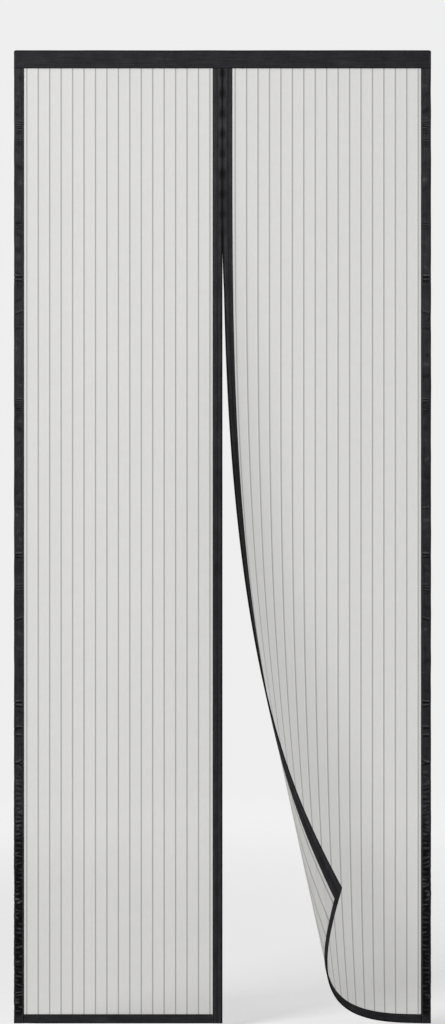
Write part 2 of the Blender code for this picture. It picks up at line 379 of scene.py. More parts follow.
def stitch_group():
    """Sews stitches along every edge of the mesh that it gets."""
    tree = Tree("Stitch Rows", "GeometryNodeTree")
    geometry, pitch, length, thread, seed = tree.inputs(
        geometry=GEOMETRY, pitch=0.004, length=0.003, thread=0.0005, seed=0)
    rows = tree.node("GeometryNodeMeshToCurve", {"Mesh": geometry})
    points = add_node(tree.group, "GeometryNodeCurveToPoints", {"Curve": rows, "Length": pitch},
                      mode="LENGTH")
    stitch = tree.node("GeometryNodeMeshIcoSphere", {"Radius": 0.5, "Subdivisions": 1})
    wobble = tree.node("FunctionNodeRandomValue", {
        "Min": (-STITCH_TILT,) * 3,
        "Max": (STITCH_TILT,) * 3,
        "Seed": seed,
    }, data_type="FLOAT_VECTOR")
    aim = vector_math(tree.group, "ADD", points.outputs["Tangent"], wobble)
    turn = tree.node("FunctionNodeAlignRotationToVector", {"Vector": aim}, axis="Z")
    size = tree.node("ShaderNodeCombineXYZ", {"X": thread, "Y": thread, "Z": length})
    placed = tree.node("GeometryNodeInstanceOnPoints", {
        "Points": points.outputs[0],
        "Instance": stitch,
        "Rotation": turn,
        "Scale": size,
    })
    real = tree.node("GeometryNodeRealizeInstances", {"Geometry": placed})
    return tree.finish(geometry=(GEOMETRY, real))


def rib_group():
    """Raises the woven ribs on a flat net that lies in the plane of its middle."""
    tree = Tree("Woven Ribs", "GeometryNodeTree")
    geometry, first, pitch, width, relief = tree.inputs(
        geometry=GEOMETRY, first_rib=0.0, pitch=0.02, width=0.003, relief=0.0005)
    x, _, _ = parts(tree.group, tree.node("GeometryNodeInputPosition"))
    half_pitch = pitch * 0.5
    from_rib = (x - first).math("WRAP", half_pitch, half_pitch * -1.0)
    closeness = 1.0 - from_rib.math("ABSOLUTE") / (width * 0.5)
    height = closeness.math("MAXIMUM", 0.0) * relief
    shift = tree.node("ShaderNodeCombineXYZ", {"Y": height * -1.0})
    raised = tree.node("GeometryNodeSetPosition", {"Geometry": geometry, "Offset": shift})
    return tree.finish(geometry=(GEOMETRY, raised))


def add_modifier(obj, group, **values):
    """Puts a geometry node group on the object, with its named inputs set by identifier."""
    modifier = obj.modifiers.new(group.name, "NODES")
    modifier.node_group = group
    for item in group.interface.items_tree:
        key = item.name.lower().replace(" ", "_")
        if item.item_type == "SOCKET" and item.in_out == "INPUT" and key in values:
            modifier[item.identifier] = values[key]


def shared_group(name, make):
    """The node group of that name, made the first time that it is asked for."""
    return bpy.data.node_groups.get(name) or make()


# Shader node groups
def weave_group():
    """Over and under of crossing threads, as a height from 0 to 1."""
    tree = Tree("Thread Weave", "ShaderNodeTree")
    place, pitch = tree.inputs(place=VECTOR, pitch=0.001)
    x, _, z = parts(tree.group, place)
    turn = 2 * math.pi / pitch
    height = (x * turn).math("SINE") * (z * turn).math("SINE") * 0.5 + 0.5
    return tree.finish(height=(FLOAT, height))


# How many specks go to a patch, across
SPECK_RATIO = 12.0


def fade_group():
    """Uneven dye and lint: varies a colour in broad patches and in fine specks."""
    tree = Tree("Uneven Dye", "ShaderNodeTree")
    place, colour, patch, amount = tree.inputs(
        place=VECTOR, colour=(0.5, 0.5, 0.5, 1.0), patch_size=0.05, amount=0.2)
    scale = 1.0 / patch
    both = speckle(tree.group, place, scale, 3.0) + speckle(tree.group, place, scale * SPECK_RATIO, 2.0)
    factor = (both - 1.0) * amount + 1.0
    scaled = vector_math(tree.group, "SCALE", colour, Scale=factor)
    return tree.finish(colour=(COLOUR, scaled), factor=(FLOAT, factor))


def place_group(tree, name, make, **feeds):
    """Places a shared shader group in a material and feeds its inputs by name."""
    group = shared_group(name, make)
    feeds = {spoken(key): value for key, value in feeds.items()}
    return add_node(tree, "ShaderNodeGroup", feeds, node_tree=group).outputs


def uneven(tree, place, colour, patch_size, amount):
    """A colour with uneven dye: the colour, and by how much it is lighter or darker."""
    return place_group(tree, "Uneven Dye", fade_group, place=place, colour=colour,
                       patch_size=patch_size, amount=amount)


def woven(tree, place, pitch):
    """The height of crossing threads."""
    return Number(tree, place_group(tree, "Thread Weave", weave_group, place=place, pitch=pitch)["Height"])


SHADER_SOCKETS = {
    "roughness": "Roughness",
    "metallic": "Metallic",
    "specular": "Specular IOR Level",
    "sheen": "Sheen Weight",
}


def new_material(name, **plain):
    """A material with a Principled shader, its plain sockets set by their plain names."""
    material = bpy.data.materials.new(name)
    material.use_nodes = True
    shader = material.node_tree.nodes["Principled BSDF"]
    for key, value in plain.items():
        shader.inputs[SHADER_SOCKETS[key]].default_value = value
    return material, material.node_tree, shader


def attribute(tree, name, output="Vector"):
    return Number(tree, add_node(tree, "ShaderNodeAttribute", attribute_name=name).outputs[output])


def mix(tree, factor, first, second):
    node = add_node(tree, "ShaderNodeMix", data_type="RGBA")
    for socket, value in zip((node.inputs[0], node.inputs[6], node.inputs[7]), (factor, first, second)):
        feed(tree, socket, value)
    return node.outputs[2]


def clamped(tree, value):
    return add_node(tree, "ShaderNodeClamp", {"Value": value}).outputs[0]


def opaque(colour):
    return (*colour, 1.0)


def bump(tree, shader, height, distance, strength=1.0):
    node = add_node(tree, "ShaderNodeBump", {"Height": height, "Distance": distance, "Strength": strength})
    tree.links.new(node.outputs[0], shader.inputs["Normal"])


# How the tape's threads stretch its streaks, and its shine, thread pitch and weave depth
THREAD_STREAKS = (1.0, 1.0, 0.03)
TAPE_ROUGHNESS = 0.6
CREASE_SHINE = 0.2
TAPE_THREAD = 0.0011
TAPE_WEAVE_DEPTH = 0.00012


def binding_material():
    """Black polyester tape: lengthwise threads, painted shade on its edges, fold and creases, painted
    highlight on its ridges.
    """
    binding = bpy.context.scene.screen_binding
    material, tree, shader = new_material("binding_cloth", sheen=0.0, specular=0.08)
    place = attribute(tree, TAPE_PLACE)
    relief = attribute(tree, RELIEF_SHADE, "Fac")
    edge = attribute(tree, EDGE_SHADE, "Fac")
    # Painted shade in the creases, painted highlight on the ridges, then painted shade on the edges and fold
    base = mix(tree, clamped(tree, relief * -1.0), opaque(binding.colour), opaque(binding.crease_shade_colour))
    base = mix(tree, clamped(tree, relief), base, opaque(binding.ridge_highlight_colour))
    base = mix(tree, edge, base, opaque(binding.edge_colour))
    stretched = vector_math(tree, "MULTIPLY", place, THREAD_STREAKS)
    streaks = uneven(tree, stretched, base, patch_size=0.0022, amount=1.6)
    dyed = uneven(tree, place, streaks["Colour"], patch_size=0.03, amount=1.2)
    feed(tree, shader.inputs["Base Color"], dyed["Colour"])
    feed(tree, shader.inputs["Roughness"], TAPE_ROUGHNESS - relief.math("ABSOLUTE") * CREASE_SHINE)
    bump(tree, shader, woven(tree, place, TAPE_THREAD) + streaks["Factor"], TAPE_WEAVE_DEPTH)
    return material


# Where a rib's colour is full and where it has faded out, as shares of its width
RIB_CORE = 0.30
RIB_BLUR = 0.62
# The denser strip along the net's bound edges
SELVAGE_W = 0.0045
SELVAGE_OPACITY = 0.12
# The net's fine bands between its ribs, its rows and its threads: pitch and swing in opacity
BAND_PITCH = 0.0247 / 6
BAND_SWING = 0.040
BAND_SHADE = -1.6
ROW_PITCH = 0.0033
ROW_SWING = 0.012
THREAD_PITCH = 0.0013
THREAD_SWING = 0.16
THREAD_DEPTH = 0.0001


def net_material():
    """Pale see-through net with darker ribs and a denser strip along its bound edges."""
    net = bpy.context.scene.screen_net
    material, tree, shader = new_material("insect_net_cloth", roughness=0.75, specular=0.2)
    place = attribute(tree, FLAT_PLACE)
    x, _, z = parts(tree, place)
    half_pitch = net.rib_pitch / 2
    from_rib = (x - first_rib()).math("WRAP", half_pitch, -half_pitch).math("ABSOLUTE")
    rib = ramp(tree, from_rib, net.rib_width * RIB_CORE, net.rib_width * RIB_BLUR, 1.0, 0.0,
               interpolation_type="SMOOTHSTEP")
    to_edge = (x - NET_START_X).math("MINIMUM", NET_END_X - x).math("MINIMUM", HEADER_EDGE_Z - z)
    selvage = ramp(tree, to_edge, SELVAGE_W * 0.5, SELVAGE_W, SELVAGE_OPACITY, 0.0)

    bands = (x * (2 * math.pi / BAND_PITCH)).math("SINE")
    rows = (z * (2 * math.pi / ROW_PITCH)).math("SINE")
    weave = woven(tree, place, THREAD_PITCH)
    texture = bands * BAND_SWING + rows * ROW_SWING + (weave * THREAD_SWING - THREAD_SWING / 2)
    veil = texture + selvage + net.opacity
    feed(tree, shader.inputs["Alpha"], rib * (net.rib_opacity - veil) + veil)

    thread = mix(tree, rib, opaque(net.thread_colour), opaque(net.rib_colour))
    banded = vector_math(tree, "SCALE", thread, Scale=texture * BAND_SHADE + 1.0)
    dyed = uneven(tree, place, banded, patch_size=0.25, amount=0.06)
    feed(tree, shader.inputs["Base Color"], dyed["Colour"])
    bump(tree, shader, weave, THREAD_DEPTH, 0.5)
    return material


def thread_material():
    """Dark sewing thread, a little paler than the tape."""
    colour = opaque(bpy.context.scene.screen_stitch.colour)
    material, tree, shader = new_material("sewing_thread", roughness=0.45)
    dyed = uneven(tree, attribute(tree, FLAT_PLACE), colour, patch_size=0.03, amount=0.5)
    feed(tree, shader.inputs["Base Color"], dyed["Colour"])
    return material


LINT_SCALE = 900.0
LINT_ROUGHNESS = 0.1


def pile_material(name, colour, roughness, pitch, depth):
    """Loop pile or moulded hooks: a dense field of small bumps, with dust caught between."""
    material, tree, shader = new_material(name, sheen=0.1)
    place = attribute(tree, FLAT_PLACE)
    dyed = uneven(tree, place, opaque(colour), patch_size=0.02, amount=0.6)
    feed(tree, shader.inputs["Base Color"], dyed["Colour"])
    lint = speckle(tree, place, LINT_SCALE, 2.0)
    feed(tree, shader.inputs["Roughness"], lint * LINT_ROUGHNESS + roughness)
    bump(tree, shader, woven(tree, place, pitch) + lint, depth)
    return material


FERRITE = (0.09, 0.09, 0.09)
FERRITE_ROUGHNESS = 0.4
GRAIN_ROUGHNESS = 0.25
GRAIN_SCALE = 2500.0
GRAIN_DEPTH = 0.0001


def magnet_material():
    """Sintered ferrite: dark grey and slightly grainy."""
    material, tree, shader = new_material("ferrite", metallic=0.35)
    place = add_node(tree, "ShaderNodeTexCoord").outputs["Object"]
    dyed = uneven(tree, place, opaque(FERRITE), patch_size=0.004, amount=0.5)
    feed(tree, shader.inputs["Base Color"], dyed["Colour"])
    grain = speckle(tree, place, GRAIN_SCALE, 3.0)
    feed(tree, shader.inputs["Roughness"], grain * GRAIN_ROUGHNESS + FERRITE_ROUGHNESS)
    bump(tree, shader, grain, GRAIN_DEPTH, 0.4)
    return material


def material_named(name, make):
    return bpy.data.materials.get(name) or make()


# Flat cloth
def steps(start, end, size):
    """Evenly spaced stations from start to end, about size apart."""
    count = max(1, round(abs(end - start) / size))
    return [start + (end - start) * i / count for i in range(count + 1)]


def smooth(value):
    """0 below 0, 1 above 1, and an S-shaped rise between."""
    value = min(max(value, 0.0), 1.0)
    return value * value * (3 - 2 * value)


def new_object(name, bm):
    """An object of the scene with the mesh that was built."""
    mesh = bpy.data.meshes.new(name)
    bm.to_mesh(mesh)
    bm.free()
    obj = bpy.data.objects.new(name, mesh)
    bpy.context.scene.collection.objects.link(obj)
    return obj


def unevenness(*place):
    """Smooth noise between about -1 and 1. A fixed number among the places picks its own stretch."""
    return noise.noise(Vector(place))


def grid_object(name, columns, rows, place, marks=None):
    """A sheet of faces: place(column, row) gives a corner, marks its values by attribute name."""
    bm = bmesh.new()
    bmesh.ops.create_grid(bm, x_segments=len(columns) - 1, y_segments=len(rows) - 1, size=1.0)
    layers = {mark: bm.verts.layers.float.new(mark) for mark in marks or {}}
    own_place = bm.verts.layers.float_vector.new(TAPE_PLACE)
    for vert in bm.verts:
        column = columns[round((vert.co.x + 1) / 2 * (len(columns) - 1))]
        row = rows[round((1 - vert.co.y) / 2 * (len(rows) - 1))]
        for mark, layer in layers.items():
            vert[layer] = marks[mark](column, row)
        vert[own_place] = (column, 0.0, row)
        vert.co = place(column, row)
    bm.normal_update()
    return new_object(name, bm)


def thicken(obj, thickness):
    solid = obj.modifiers.new("Cloth Thickness", "SOLIDIFY")
    solid.thickness = thickness
    solid.offset = 0.0
    solid.use_rim = True


def hang(obj, side, material, sharp=60):
    """Hangs a flat piece as the left or right panel, or as it is, and makes it a plain mesh."""
    curl = {key: getattr(bpy.context.scene.screen_curl, key) for key in CURL_INPUTS}
    add_modifier(obj, shared_group("Hang Cloth", hang_group), mirror=side == "left",
                 open=side == "right", material=material, **curl)
    return made_plain(obj, sharp)


def made_plain(obj, sharp):
    """Replaces the object's modifiers by their result."""
    bpy.context.view_layer.update()
    depsgraph = bpy.context.evaluated_depsgraph_get()
    mesh = bpy.data.meshes.new_from_object(obj.evaluated_get(depsgraph), depsgraph=depsgraph)
    obj.modifiers.clear()
    old = obj.data
    obj.data = mesh
    bpy.data.meshes.remove(old)
    mesh.name = obj.name
    mesh.shade_smooth()
    mesh.set_sharp_from_angle(angle=math.radians(sharp))
    return obj


def fasten(obj, slot, *nodes):
    """Attaches a piece to the root body and hides the CAD nodes that it stands for; the slot is not used."""
    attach(obj, "root")
    if nodes:
        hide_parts(*nodes)
    return obj


class Fold:
    """A tape folded in two round an edge: its cross-section from one raw edge to the other.

    A column is a distance along the tape: 0 at the front layer's raw edge. across is measured from
    the fold's outside, out from the middle of the fold, towards the room where it is negative.
    """

    def __init__(self, width, half, front_columns=14, back_columns=5, turn_columns=6):
        self.width = width
        self.half = half - CLOTH_T / 2
        self.nose = self.half + CLOTH_T / 2
        self.flat = width - self.nose
        self.arc = math.pi * self.half
        self.columns = (
            steps(0.0, self.flat, self.flat / front_columns)
            + steps(self.flat, self.flat + self.arc, self.arc / turn_columns)[1:]
            + steps(self.flat + self.arc, 2 * self.flat + self.arc, self.flat / back_columns)[1:])

    def place(self, column):
        """(across, out) of the cloth's middle, with no swelling."""
        if column <= self.flat:
            return self.width - column, -self.half
        if column <= self.flat + self.arc:
            turn = (column - self.flat) / self.half
            return self.nose - self.half * math.sin(turn), -self.half * math.cos(turn)
        return self.nose + column - self.flat - self.arc, self.half

    def unfolded(self):
        return 2 * self.flat + self.arc


# The front layer's swelling: shares of its width for the rise and the fall, and of the turn
SWELL_RISE = 0.25
SWELL_FALL = 0.3
SWELL_TURN = 0.45
# The painted shade on the tape's edges: shares of the hem that are full and that fade, on an edge and on the
# fold
EDGE_FULL = 0.45
EDGE_FADE = 0.55
NOSE_FULL = 0.4
NOSE_FADE = 0.8
NOSE_TURN = 0.35


def front_swell(fold, column, hem):
    """0 on the stitch line and beyond, 1 in the middle of the front layer, 0 at the back."""
    rise = smooth((column - hem) / (SWELL_RISE * fold.flat))
    fall = smooth((fold.flat + fold.arc * SWELL_TURN - column) / (SWELL_FALL * fold.flat))
    return rise * fall


def edge_shade_mark(fold, column, hem):
    """1 on the tape's edges and on its fold, where painted shade is darkest."""
    to_fold = abs(column - fold.flat - fold.arc * NOSE_TURN)
    nose = 1 - smooth((to_fold - NOSE_FULL * hem) / (NOSE_FADE * hem))
    raw, far = (1 - smooth((to_edge - EDGE_FULL * hem) / (EDGE_FADE * hem))
                for to_edge in (column, fold.unfolded() - column))
    return max(raw, nose, far)


# Net
RIB_MARGIN = 0.005
NET_COLUMNS_BETWEEN = 4
# How far the net's edge is tucked into the centre binding
NET_TUCK = (NET_START_X - SEAM_X) / 3


def first_rib():
    """The first rib's distance from the middle: as many ribs as fit, centred in the net."""
    pitch = bpy.context.scene.screen_net.rib_pitch
    gaps = int((NET_END_X - NET_START_X - 2 * RIB_MARGIN) / pitch)
    return (NET_START_X + NET_END_X - gaps * pitch) / 2


def net_columns():
    """Columns at both edges and the middle of each rib, and a few evenly between."""
    net = bpy.context.scene.screen_net
    columns = [NET_START_X - NET_TUCK]
    rib = first_rib()
    while rib < NET_END_X:
        columns += steps(columns[-1], rib - net.rib_width / 2, net.rib_pitch / NET_COLUMNS_BETWEEN)[1:]
        columns += [rib, rib + net.rib_width / 2]
        rib += net.rib_pitch
    return columns + [NET_END_X, -NET_LO.x]


class SCREEN_OT_nets(bpy.types.Operator):
    """Makes the two ribbed net panels, one flat and one rolled open"""

    bl_idname = "insect_screen.nets"
    bl_label = "Nets"

    def execute(self, context):
        net = context.scene.screen_net
        material = material_named("insect_net_cloth", net_material)
        top = TUCK_Z
        foot = NET_LO.z
        for side in SIDES:
            obj = grid_object(f"insect_net_{side}", net_columns(), steps(top, foot, net.row_size),
                              lambda x, z: (x, NET_Y, z))
            add_modifier(obj, shared_group("Woven Ribs", rib_group), first_rib=first_rib(),
                         pitch=net.rib_pitch, width=net.rib_width, relief=net.rib_relief)
            hang(obj, side, material)
            fasten(obj, "insect_net", f"net_{side}")
            width = -NET_LO.x - net_columns()[0]
        return {"FINISHED"}


# Bindings
# Painted light: the tapes are painted paler towards the top, fading out over this drop
TOP_LIGHT = 0.10
TOP_LIGHT_DROP = 1.2
TAPE_ROW = 0.006


def paler(z):
    """Painted light: how much paler a tape is painted in its upper part, where more light falls, as a relief
    mark.
    """
    return TOP_LIGHT * smooth(1 + z / TOP_LIGHT_DROP)


# The header's swelling: its middle height and its ripple, as shares of the crown, and the wave of its edge
HEADER_SWELL = 0.7
HEADER_RIPPLE = 0.35
HEADER_WAVE = 0.0004
# How many waves go to a metre, along the tape and across it
HEADER_RIPPLES = (9.0, 30.0)
HEADER_WAVES = 14.0
HEADER_CALM_END = 0.012
# The header's rounded ends: their radius, how round they are, and rows in each
HEADER_CORNER = 0.0045
CORNER_ROUNDNESS = 0.8
CORNER_ROWS = 6


class SCREEN_OT_header_binding(bpy.types.Operator):
    """Makes the folded tape that runs across the top"""

    bl_idname = "insect_screen.header_binding"
    bl_label = "Header Binding"

    def execute(self, context):
        binding = context.scene.screen_binding
        fold = Fold(HEADER_HI.z - HEADER_LO.z, HEADER_HALF, front_columns=18, back_columns=8)
        length = HEADER_HI.x - HEADER_LO.x

        def place(column, x):
            across, out = fold.place(column)
            calm = smooth((length / 2 - abs(x)) / HEADER_CALM_END)
            ripple = HEADER_RIPPLE * unevenness(x * HEADER_RIPPLES[0], column * HEADER_RIPPLES[1], 3.1)
            out -= binding.crown * front_swell(fold, column, binding.hem) * calm * (HEADER_SWELL + ripple)
            wave = HEADER_WAVE * unevenness(x * HEADER_WAVES, 0.0, 8.4) * (across < fold.nose)
            past = min(max(abs(x) - length / 2 + HEADER_CORNER, 0.0), HEADER_CORNER)
            corner = HEADER_CORNER - math.sqrt(HEADER_CORNER ** 2 - past ** 2)
            across += CORNER_ROUNDNESS * corner * (1 - smooth(across / (4 * HEADER_CORNER)))
            return x, NET_Y + out, HEADER_HI.z - across + wave

        marks = {EDGE_SHADE: lambda column, x: edge_shade_mark(fold, column, binding.hem)}
        end = length / 2 - HEADER_CORNER
        rows = (steps(-length / 2, -end, HEADER_CORNER / CORNER_ROWS) + steps(-end, end, TAPE_ROW)[1:]
                + steps(end, length / 2, HEADER_CORNER / CORNER_ROWS)[1:])
        obj = grid_object("header_binding", fold.columns, rows, place, marks)
        thicken(obj, CLOTH_T)
        hang(obj, "", material_named("binding_cloth", binding_material))
        fasten(obj, "binding_tape", "header_tape")
        fold.unfolded()
        return {"FINISHED"}


SIDE_WAVE = 0.0006
SIDE_WAVES = 22.0
# Crease height that gives full painted shade in a hollow or full painted highlight on a crest, and the
# painted shade over the gathered foot
CREASE_SCALE = 0.0007
GATHERED_SHADE = 1.15

# Puckers where the tape was caught: height of the middle, valleys, distance between them, depth
PUCKERS = (
    (-0.1475, 6, 0.0046, 0.0011),
    (-0.1780, 3, 0.0050, 0.0005),
    (-0.3600, 3, 0.0050, 0.0005),
    (-0.7460, 6, 0.0046, 0.0011),
    (-1.1440, 4, 0.0055, 0.0008),
)
# Sharp folds right across the tape: height, depth, slope
CROSS_FOLDS = (
    (-0.4700, 0.0012, 0.02),
    (-0.4785, 0.0007, -0.02),
    (-0.5480, 0.0005, 0.35),
    (-0.5808, 0.0004, 0.03),
    (-0.9700, 0.0005, -0.10),
    (-1.0690, 0.0011, 0.04),
    (-1.0750, 0.0008, -0.05),
    (-1.2090, 0.0008, 0.30),
    (-1.3880, 0.0012, 0.10),
    (-1.3965, 0.0009, -0.12),
    (-1.4432, 0.0008, 0.03),
    (-1.4605, 0.0008, -0.02),
    (-1.5180, 0.0009, 0.40),
    (-1.5210, 0.0009, -0.35),
)
GATHER_FROM = -1.545
GATHER_FULL = -1.760
FOOT_CALM = 0.030
CREASE_REACH = 0.016
# Row lengths across creases and where the tape lies flat, and how near a crease counts
CREASED_ROW = 0.0010
CALM_ROW = 0.0035
CROSS_NEAR = 0.010
GATHER_NEAR = 0.030
# Valleys and crests of puckers, as shares of the distance between them
PUCKER_VALLEY = 0.30
PUCKER_CREST = 0.24
PUCKER_SLOPE = (-0.1, 0.1)
PUCKER_SHIFT = (-0.08, 0.08)
PUCKER_CENTRE = (-0.1, 0.4)
# Valley and crest widths of a cross fold, how far the crest lies above its valley, its slope's spread
CROSS_VALLEY = 0.0018
CROSS_CREST = 0.0014
CROSS_LIFT = 0.0038
CROSS_TURN = (-0.04, 0.04)
CROSS_SPAN = 2.0
# Stray creases: limits of slope, depth, width, centre and span, and of the gap to the next one
STRAY = ((-0.7, 0.7), (-0.0005, 0.0003), (0.0015, 0.0040), (-0.6, 0.6), (0.4, 0.9))
STRAY_GAP = (0.010, 0.035)
# Gathers: where they centre, limits of their slope, and of the gap to the next one
GATHER_SIDE = 0.7
GATHER_SLOPE = (0.02, 0.50)
GATHER_GAP = (0.0060, 0.0125)
# Their hollows and crests: least depth, and its growth where gathered tightly
HOLLOW = (0.0006, 0.0006)
CREST = (0.0003, 0.0010)
# Limits of the share of that depth, of the width and of the span
HOLLOW_DEPTH = (0.6, 1.2)
HOLLOW_WIDTH = (0.0010, 0.0020)
HOLLOW_SPAN = (0.7, 1.6)
CREST_DEPTH = (0.4, 1.1)
CREST_WIDTH = (0.0013, 0.0032)
CREST_SPAN = (0.6, 1.6)
# How far a crest lies below its hollow, and its slope as a share of the hollow's
CREST_DROP = (0.0035, 0.0055)
CREST_TURN = (-1.0, 1.2)
# How creases draw in the tape's outer edge, and the painted shade on the back layer where gathered
EDGE_PULL = 0.3
BACK_SHADE = 0.3
# Share of the hem for the painted crease shade's fade, and the painted light and dark patches where gathered,
# with their frequencies
SHADE_HEM = 0.4
PATCH_SHADE = 0.7
PATCHES = (60.0, 45.0)
UNDER_HEADER = 0.006


class SCREEN_OT_side_bindings(bpy.types.Operator):
    """Makes the creased tapes along the jambs, gathered tightly towards the foot"""

    bl_idname = "insect_screen.side_bindings"
    bl_label = "Side Bindings"

    def execute(self, context):
        binding = context.scene.screen_binding
        material = material_named("binding_cloth", binding_material)
        for seed, side in enumerate(SIDES):
            fold = Fold(SIDE_W, SIDE_HALF, front_columns=16)
            creases = Creases(seed + 4)

            def place(column, z):
                across, out = fold.place(column)
                calm = smooth((HEADER_EDGE_Z - z) / UNDER_HEADER)
                crease = creases.height(across, z)
                out -= front_swell(fold, column, binding.hem) * calm * (binding.crown + crease)
                wave = SIDE_WAVE * unevenness(z * SIDE_WAVES, 5.0 * seed, 1.7) + EDGE_PULL * crease
                if across < 2 * fold.nose:
                    across -= min(wave, SIDE_WAVE) * calm
                return JAMB_X - across, NET_Y + out, z

            # Painted light and shade: painted shade on the back layer where gathered; on the front, painted
            # crease shade and highlight, and painted light towards the top
            def relief(column, z):
                across, out = fold.place(column)
                if out > 0:
                    return -BACK_SHADE * creases.gathered(z)
                swell = front_swell(fold, column, SHADE_HEM * binding.hem)
                return creases.shade(across, z) * swell + paler(z)

            marks = {EDGE_SHADE: lambda column, z: edge_shade_mark(fold, column, binding.hem), RELIEF_SHADE: relief}
            rows = creases.rows(TUCK_Z, SIDE_LO.z)
            obj = grid_object(f"side_binding_{side}", fold.columns, rows, place, marks)
            thicken(obj, CLOTH_T)
            hang(obj, "left" if side == "left" else "", material)
            fasten(obj, "binding_tape", f"side_tape_{side}")
            fold.unfolded()
        return {"FINISHED"}


class Creases:
    """The creases of one side binding, the same on every run."""

    def __init__(self, seed):
        self.chance = random.Random(seed)
        self.found = []
        for middle, count, pitch, depth in PUCKERS:
            for index in range(count):
                from_middle = index - (count - 1) / 2
                fade = 1 - abs(from_middle) / count
                place = middle + (from_middle + self.chance.uniform(*PUCKER_SHIFT)) * pitch
                slope = self.chance.uniform(*PUCKER_SLOPE)
                centre = self.chance.uniform(*PUCKER_CENTRE)
                self.add(place, slope, -depth * fade, PUCKER_VALLEY * pitch, centre, 0.75)
                self.add(place + pitch / 2, slope, 0.6 * depth * fade, PUCKER_CREST * pitch, centre, 0.7)
        for place, depth, slope in CROSS_FOLDS:
            slope += self.chance.uniform(*CROSS_TURN)
            self.add(place, slope, -depth, CROSS_VALLEY, 0.0, CROSS_SPAN)
            self.add(place + CROSS_LIFT, slope, 0.5 * depth, CROSS_CREST, 0.0, CROSS_SPAN)
        self.rumple(HEADER_EDGE_Z - 0.02, GATHER_FROM)
        self.gather(GATHER_FROM, FOOT_Z + FOOT_CALM)

    def rumple(self, top, foot):
        """Faint stray creases, far apart."""
        place = top
        while place > foot:
            self.add(place, *(self.chance.uniform(*limits) for limits in STRAY))
            place -= self.chance.uniform(*STRAY_GAP)

    def gather(self, top, foot):
        """Slanting hollows, and further down broad crests between them, closer towards the foot."""
        chance, place = self.chance, top
        while place > foot:
            strength = self.gathered(place)
            side = chance.choice((-GATHER_SIDE, 0.0, GATHER_SIDE))
            slope = chance.uniform(*GATHER_SLOPE) * chance.choice((-1, 1))
            self.add(place, slope, -(HOLLOW[0] + HOLLOW[1] * strength) * chance.uniform(*HOLLOW_DEPTH),
                     chance.uniform(*HOLLOW_WIDTH), side, chance.uniform(*HOLLOW_SPAN))
            self.add(place - chance.uniform(*CREST_DROP), slope * chance.uniform(*CREST_TURN),
                     (CREST[0] + CREST[1] * strength) * chance.uniform(*CREST_DEPTH),
                     chance.uniform(*CREST_WIDTH), -side, chance.uniform(*CREST_SPAN))
            place -= chance.uniform(*GATHER_GAP)

    def add(self, place, slope, depth, width, centre, span):
        self.found.append((place, slope, depth, width, centre, span))

    def gathered(self, z):
        """0 above the gathered part, 1 where the tape is gathered tightly."""
        return smooth((GATHER_FROM - z) / (GATHER_FROM - GATHER_FULL)) * smooth((z - FOOT_Z) / FOOT_CALM)

    def height(self, across, z):
        """How far the cloth stands out at this place of the front layer."""
        total = 0.0
        share = 2 * across / SIDE_W - 1
        for place, slope, depth, width, centre, span in self.found:
            if abs(z - place) < CREASE_REACH:
                gap = (z - place - slope * share * SIDE_W / 2) / width
                window = (share - centre) / span
                total += depth * math.exp(-gap * gap - window ** 4)
        return total

    def shade(self, across, z):
        """Painted shade and highlight of the creases here, with painted shade and patches where gathered,
        between -1 and 1.
        """
        patch = unevenness(across * PATCHES[0], 2.2, z * PATCHES[1])
        shade = self.height(across, z) / CREASE_SCALE
        shade += self.gathered(z) ** 2 * (PATCH_SHADE * patch - GATHERED_SHADE)
        return min(max(shade, -1.0), 1.0)

    def rows(self, top, foot):
        """Stations down the tape: close together across creases, far apart where it lies flat."""
        rows = [top]
        while rows[-1] > foot:
            z = rows[-1]
            near = z < GATHER_FROM + GATHER_NEAR
            near = near or any(abs(z - middle) < count * pitch for middle, count, pitch, _ in PUCKERS)
            near = near or any(abs(z - place) < CROSS_NEAR for place, _, _ in CROSS_FOLDS)
            rows.append(z - (CREASED_ROW if near else CALM_ROW))
        rows[-1] = foot
        return rows


CENTRE_ROW = 0.0048
# How much lighter the painted shade on the seam's fold is made, and how far the edges close on each other
SEAM_SOFT = 0.5
SEAM_CLOSE = 0.00015
SEAM_HOLD = 0.0013
SEAM_HOLD_FROM = -0.10
SEAM_HOLD_TO = -0.40
SEAM_LET_GO = 0.12
SEAM_HOLD_POWER = 2.9
# Where the lighter painted edge shade of the seam begins on the front layer, and over how much it comes in
SEAM_EDGE_FROM = 0.6
SEAM_EDGE_RISE = 0.1
# The pinches: where they start and end, how they fade out, and their size along and across
PINCH_START = 0.010
PINCH_LAST = -0.42
PINCH_FADE = 0.15
PINCH_LENGTH = 0.0080
PINCH_WIDTH = 0.0095
# The magnets' pocket: its edge, and the width of the painted shade in its seam and of the painted highlight
# on its crest
POCKET_STEP = 0.002
POCKET_SEAM = 0.0011
POCKET_CREST = 0.0018
# Painted highlight on that crest, painted shade in that seam and in a pinch, and painted light higher up
CREST_SHADE = 0.12
SEAM_SHADE = 0.45
PINCH_SHADE = 1.2
CENTRE_TOP_LIGHT = 1.3
CENTRE_CROWN = 0.4


def seam_hold(z):
    """How far the opening panel's edge still clings to the other one, just above the gap."""
    opened = max(SEAM_HOLD_FROM - z, 0.0) / (SEAM_HOLD_FROM - SEAM_HOLD_TO)
    held = SEAM_HOLD * opened ** SEAM_HOLD_POWER + SEAM_CLOSE * smooth(3 * opened)
    return held * (1 - smooth((SEAM_HOLD_TO - z) / SEAM_LET_GO))


